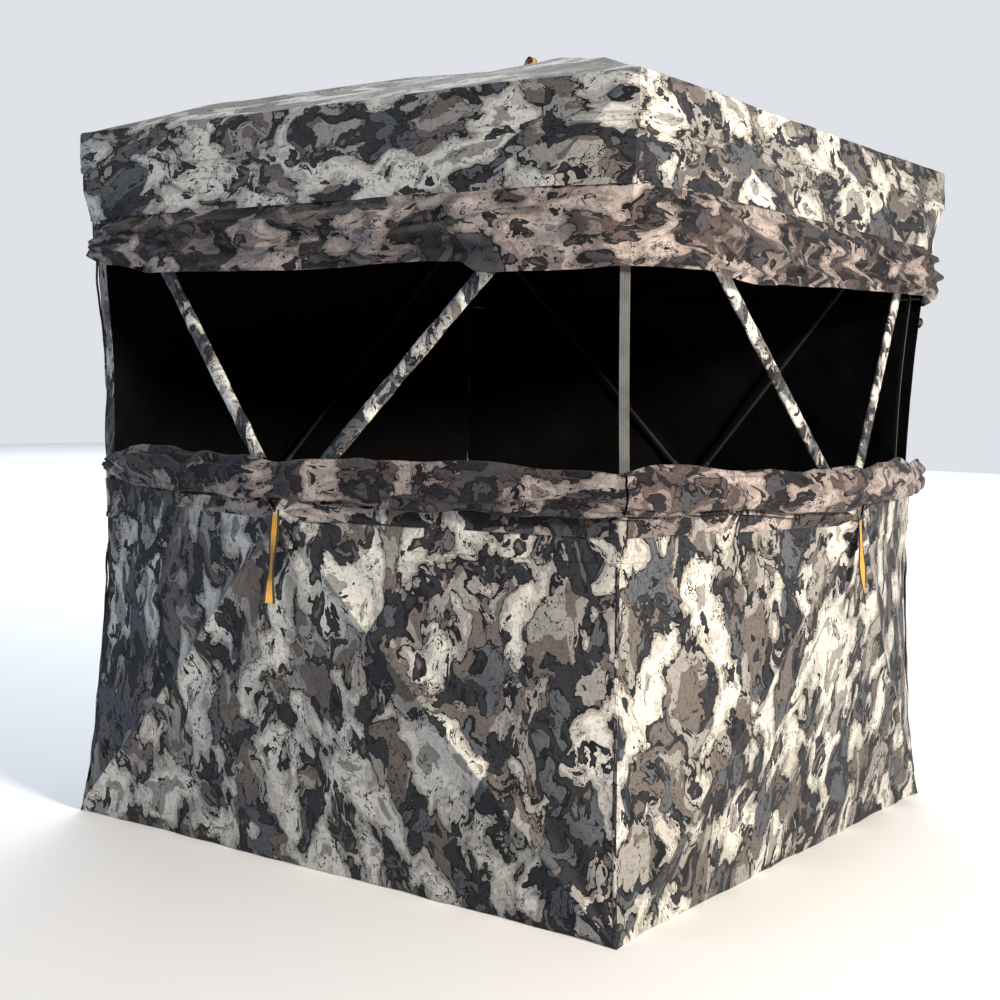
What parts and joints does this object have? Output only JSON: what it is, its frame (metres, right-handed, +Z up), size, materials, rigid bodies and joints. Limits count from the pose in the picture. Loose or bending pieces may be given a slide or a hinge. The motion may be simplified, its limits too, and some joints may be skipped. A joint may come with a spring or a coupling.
{
  "type": "pop up ground blind",
  "caption": "Square pop up field blind with sprung hubs and rods, a camouflage cloth cover, a wide window band and a zip door.",
  "frame": {"origin": "on the ground, at the middle of the square plan", "axes": "+Z up; the front wall faces -Y, the right wall +X, the back wall +Y and the door wall -X"},
  "size_m": [1.9206, 1.9206, 1.9546],
  "materials": {
    "camo_cloth": "woven polyester printed with ragged camouflage, black coated inside",
    "curtain_cloth": "thin window cloth in a darker print of the same camouflage",
    "hub_plastic": "moulded black nylon",
    "glass_fibre": "drawn glass fibre rod, dark grey",
    "zinc_steel": "zinc plated wire and zip metal",
    "pull_webbing": "amber webbing with a dark woven edge",
    "grey_webbing": "ribbed grey webbing",
    "pocket_webbing": "heavy black pack cloth",
    "zip_tape": "black coil zip on tape"
  },
  "bodies": {
    "root": {"back_curtain": "curtain_cloth", "back_left_base_pocket": "pocket_webbing", "back_left_eave_pocket": "pocket_webbing", "back_lower_wall": "camo_cloth", "back_right_base_pocket": "pocket_webbing", "back_right_corner_strap": "grey_webbing", "back_right_eave_pocket": "pocket_webbing", "door_zip_tape": "zip_tape", "eave_band": "camo_cloth", "front_left_base_pocket": "pocket_webbing", "front_left_eave_pocket": "pocket_webbing", "front_lower_wall": "camo_cloth", "front_right_base_pocket": "pocket_webbing", "front_right_corner_strap": "grey_webbing", "front_right_eave_pocket": "pocket_webbing", "left_wall": "camo_cloth", "right_lower_wall": "camo_cloth", "roof_panel": "camo_cloth", "window_drape": "curtain_cloth"},
    "front_hub_set": {"front_hub": "hub_plastic", "front_pivot_ring": "zinc_steel", "front_pull_strap": "pull_webbing"},
    "front_rod_upper_right_body": {"front_rod_upper_right": "glass_fibre"},
    "front_rod_upper_left_body": {"front_rod_upper_left": "glass_fibre"},
    "front_rod_lower_left_body": {"front_rod_lower_left": "glass_fibre"},
    "front_rod_lower_right_body": {"front_rod_lower_right": "glass_fibre"},
    "right_hub_set": {"right_hub": "hub_plastic", "right_pivot_ring": "zinc_steel", "right_pull_strap": "pull_webbing"},
    "right_rod_upper_right_body": {"right_rod_upper_right": "glass_fibre"},
    "right_rod_upper_left_body": {"right_rod_upper_left": "glass_fibre"},
    "right_rod_lower_left_body": {"right_rod_lower_left": "glass_fibre"},
    "right_rod_lower_right_body": {"right_rod_lower_right": "glass_fibre"},
    "back_hub_set": {"back_hub": "hub_plastic", "back_pivot_ring": "zinc_steel", "back_pull_strap": "pull_webbing"},
    "back_rod_upper_right_body": {"back_rod_upper_right": "glass_fibre"},
    "back_rod_upper_left_body": {"back_rod_upper_left": "glass_fibre"},
    "back_rod_lower_left_body": {"back_rod_lower_left": "glass_fibre"},
    "back_rod_lower_right_body": {"back_rod_lower_right": "glass_fibre"},
    "left_hub_set": {"left_hub": "hub_plastic", "left_pivot_ring": "zinc_steel", "left_pull_strap": "pull_webbing"},
    "left_rod_upper_right_body": {"left_rod_upper_right": "glass_fibre"},
    "left_rod_upper_left_body": {"left_rod_upper_left": "glass_fibre"},
    "left_rod_lower_left_body": {"left_rod_lower_left": "glass_fibre"},
    "left_rod_lower_right_body": {"left_rod_lower_right": "glass_fibre"},
    "roof_hub_set": {"roof_hub": "hub_plastic", "roof_pivot_ring": "zinc_steel", "roof_pull_strap": "pull_webbing"},
    "roof_rod_back_right_body": {"roof_rod_back_right": "glass_fibre"},
    "roof_rod_back_left_body": {"roof_rod_back_left": "glass_fibre"},
    "roof_rod_front_left_body": {"roof_rod_front_left": "glass_fibre"},
    "roof_rod_front_right_body": {"roof_rod_front_right": "glass_fibre"},
    "door_flap_body": {"door_flap": "camo_cloth"},
    "door_zip_slider_body": {"door_zip_slider": "zinc_steel"},
    "front_curtain": {"front_curtain_roll": "curtain_cloth"},
    "right_curtain": {"right_curtain_roll": "curtain_cloth"},
    "back_curtain_hem_body": {"back_curtain_hem": "curtain_cloth"}
  },
  "joints": [
    {"name": "front_hub_pop", "type": "slide", "parent": "root", "child": "front_hub_set", "axis": [0, 1, 0], "range_m": [0, 0.294], "deforming": ["front_lower_wall"]},
    {"name": "front_rod_upper_right_hinge", "type": "hinge", "parent": "front_hub_set", "child": "front_rod_upper_right_body", "pos_m": [0.02143, -0.902, 0.84176], "axis": [0.7425, 0, -0.6698], "range_deg": [0, 15.34]},
    {"name": "front_rod_upper_left_hinge", "type": "hinge", "parent": "front_hub_set", "child": "front_rod_upper_left_body", "pos_m": [-0.02143, -0.902, 0.84176], "axis": [0.7425, 0, 0.6698], "range_deg": [0, 15.34]},
    {"name": "front_rod_lower_left_hinge", "type": "hinge", "parent": "front_hub_set", "child": "front_rod_lower_left_body", "pos_m": [-0.02236, -0.902, 0.79511], "axis": [-0.7154, 0, 0.6987], "range_deg": [0, 16.01]},
    {"name": "front_rod_lower_right_hinge", "type": "hinge", "parent": "front_hub_set", "child": "front_rod_lower_right_body", "pos_m": [0.02236, -0.902, 0.79511], "axis": [-0.7154, 0, -0.6987], "range_deg": [0, 16.01]},
    {"name": "right_hub_pop", "type": "slide", "parent": "root", "child": "right_hub_set", "axis": [-1, 0, 0], "range_m": [0, 0.294], "deforming": ["right_lower_wall"]},
    {"name": "right_rod_upper_right_hinge", "type": "hinge", "parent": "right_hub_set", "child": "right_rod_upper_right_body", "pos_m": [0.902, 0.02143, 0.84176], "axis": [0, 0.7425, -0.6698], "range_deg": [0, 15.34]},
    {"name": "right_rod_upper_left_hinge", "type": "hinge", "parent": "right_hub_set", "child": "right_rod_upper_left_body", "pos_m": [0.902, -0.02143, 0.84176], "axis": [0, 0.7425, 0.6698], "range_deg": [0, 15.34]},
    {"name": "right_rod_lower_left_hinge", "type": "hinge", "parent": "right_hub_set", "child": "right_rod_lower_left_body", "pos_m": [0.902, -0.02236, 0.79511], "axis": [0, -0.7154, 0.6987], "range_deg": [0, 16.01]},
    {"name": "right_rod_lower_right_hinge", "type": "hinge", "parent": "right_hub_set", "child": "right_rod_lower_right_body", "pos_m": [0.902, 0.02236, 0.79511], "axis": [0, -0.7154, -0.6987], "range_deg": [0, 16.01]},
    {"name": "back_hub_pop", "type": "slide", "parent": "root", "child": "back_hub_set", "axis": [0, -1, 0], "range_m": [0, 0.294], "deforming": ["back_lower_wall"]},
    {"name": "back_rod_upper_right_hinge", "type": "hinge", "parent": "back_hub_set", "child": "back_rod_upper_right_body", "pos_m": [-0.02143, 0.902, 0.84176], "axis": [-0.7425, 0, -0.6698], "range_deg": [0, 15.34]},
    {"name": "back_rod_upper_left_hinge", "type": "hinge", "parent": "back_hub_set", "child": "back_rod_upper_left_body", "pos_m": [0.02143, 0.902, 0.84176], "axis": [-0.7425, 0, 0.6698], "range_deg": [0, 15.34]},
    {"name": "back_rod_lower_left_hinge", "type": "hinge", "parent": "back_hub_set", "child": "back_rod_lower_left_body", "pos_m": [0.02236, 0.902, 0.79511], "axis": [0.7154, 0, 0.6987], "range_deg": [0, 16.01]},
    {"name": "back_rod_lower_right_hinge", "type": "hinge", "parent": "back_hub_set", "child": "back_rod_lower_right_body", "pos_m": [-0.02236, 0.902, 0.79511], "axis": [0.7154, 0, -0.6987], "range_deg": [0, 16.01]},
    {"name": "left_hub_pop", "type": "slide", "parent": "root", "child": "left_hub_set", "axis": [1, 0, 0], "range_m": [0, 0.294], "deforming": ["left_wall"]},
    {"name": "left_rod_upper_right_hinge", "type": "hinge", "parent": "left_hub_set", "child": "left_rod_upper_right_body", "pos_m": [-0.902, -0.02143, 0.84176], "axis": [0, -0.7425, -0.6698], "range_deg": [0, 15.34]},
    {"name": "left_rod_upper_left_hinge", "type": "hinge", "parent": "left_hub_set", "child": "left_rod_upper_left_body", "pos_m": [-0.902, 0.02143, 0.84176], "axis": [0, -0.7425, 0.6698], "range_deg": [0, 15.34]},
    {"name": "left_rod_lower_left_hinge", "type": "hinge", "parent": "left_hub_set", "child": "left_rod_lower_left_body", "pos_m": [-0.902, 0.02236, 0.79511], "axis": [0, 0.7154, 0.6987], "range_deg": [0, 16.01]},
    {"name": "left_rod_lower_right_hinge", "type": "hinge", "parent": "left_hub_set", "child": "left_rod_lower_right_body", "pos_m": [-0.902, -0.02236, 0.79511], "axis": [0, 0.7154, -0.6987], "range_deg": [0, 16.01]},
    {"name": "roof_hub_pop", "type": "slide", "parent": "root", "child": "roof_hub_set", "axis": [0, 0, -1], "range_m": [0, 0.452], "deforming": ["roof_panel"]},
    {"name": "roof_rod_back_right_hinge", "type": "hinge", "parent": "roof_hub_set", "child": "roof_rod_back_right_body", "pos_m": [0.02263, 0.02263, 1.894], "axis": [0.7071, -0.7071, 0], "range_deg": [0, 24.67]},
    {"name": "roof_rod_back_left_hinge", "type": "hinge", "parent": "roof_hub_set", "child": "roof_rod_back_left_body", "pos_m": [-0.02263, 0.02263, 1.894], "axis": [0.7071, 0.7071, 0], "range_deg": [0, 24.67]},
    {"name": "roof_rod_front_left_hinge", "type": "hinge", "parent": "roof_hub_set", "child": "roof_rod_front_left_body", "pos_m": [-0.02263, -0.02263, 1.894], "axis": [-0.7071, 0.7071, 0], "range_deg": [0, 24.67]},
    {"name": "roof_rod_front_right_hinge", "type": "hinge", "parent": "roof_hub_set", "child": "roof_rod_front_right_body", "pos_m": [0.02263, -0.02263, 1.894], "axis": [-0.7071, -0.7071, 0], "range_deg": [0, 24.67]},
    {"name": "door_flap_hinge", "type": "hinge", "parent": "root", "child": "door_flap_body", "pos_m": [-0.862, 0.396, 0.409], "axis": [-0.122, -0.6904, 0.7131], "range_deg": [0, 120]},
    {"name": "door_zip_slide", "type": "slide", "parent": "root", "child": "door_zip_slider_body", "axis": [-0.2319, -0.9727, 0], "range_m": [0, 0.58]},
    {"name": "front_curtain_slide", "type": "slide", "parent": "root", "child": "front_curtain", "axis": [0, 0, 1], "range_m": [0, 0.36]},
    {"name": "right_curtain_slide", "type": "slide", "parent": "root", "child": "right_curtain", "axis": [0, 0, 1], "range_m": [0, 0.36]},
    {"name": "back_curtain_slide", "type": "slide", "parent": "root", "child": "back_curtain_hem_body", "axis": [0, 0.148, -0.989], "range_m": [0, 0.33], "deforming": ["back_curtain"]}
  ],
  "couplings": [
    {"joint": "front_rod_upper_right_hinge", "follows": "front_hub_pop", "rad_per_m": 0.90765},
    {"joint": "front_rod_upper_left_hinge", "follows": "front_hub_pop", "rad_per_m": 0.90765},
    {"joint": "front_rod_lower_left_hinge", "follows": "front_hub_pop", "rad_per_m": 0.94754},
    {"joint": "front_rod_lower_right_hinge", "follows": "front_hub_pop", "rad_per_m": 0.94754},
    {"joint": "right_rod_upper_right_hinge", "follows": "right_hub_pop", "rad_per_m": 0.90765},
    {"joint": "right_rod_upper_left_hinge", "follows": "right_hub_pop", "rad_per_m": 0.90765},
    {"joint": "right_rod_lower_left_hinge", "follows": "right_hub_pop", "rad_per_m": 0.94754},
    {"joint": "right_rod_lower_right_hinge", "follows": "right_hub_pop", "rad_per_m": 0.94754},
    {"joint": "back_rod_upper_right_hinge", "follows": "back_hub_pop", "rad_per_m": 0.90765},
    {"joint": "back_rod_upper_left_hinge", "follows": "back_hub_pop", "rad_per_m": 0.90765},
    {"joint": "back_rod_lower_left_hinge", "follows": "back_hub_pop", "rad_per_m": 0.94754},
    {"joint": "back_rod_lower_right_hinge", "follows": "back_hub_pop", "rad_per_m": 0.94754},
    {"joint": "left_rod_upper_right_hinge", "follows": "left_hub_pop", "rad_per_m": 0.90765},
    {"joint": "left_rod_upper_left_hinge", "follows": "left_hub_pop", "rad_per_m": 0.90765},
    {"joint": "left_rod_lower_left_hinge", "follows": "left_hub_pop", "rad_per_m": 0.94754},
    {"joint": "left_rod_lower_right_hinge", "follows": "left_hub_pop", "rad_per_m": 0.94754},
    {"joint": "roof_rod_back_right_hinge", "follows": "roof_hub_pop", "rad_per_m": 0.9506},
    {"joint": "roof_rod_back_left_hinge", "follows": "roof_hub_pop", "rad_per_m": 0.9506},
    {"joint": "roof_rod_front_left_hinge", "follows": "roof_hub_pop", "rad_per_m": 0.9506},
    {"joint": "roof_rod_front_right_hinge", "follows": "roof_hub_pop", "rad_per_m": 0.9506}
  ]
}
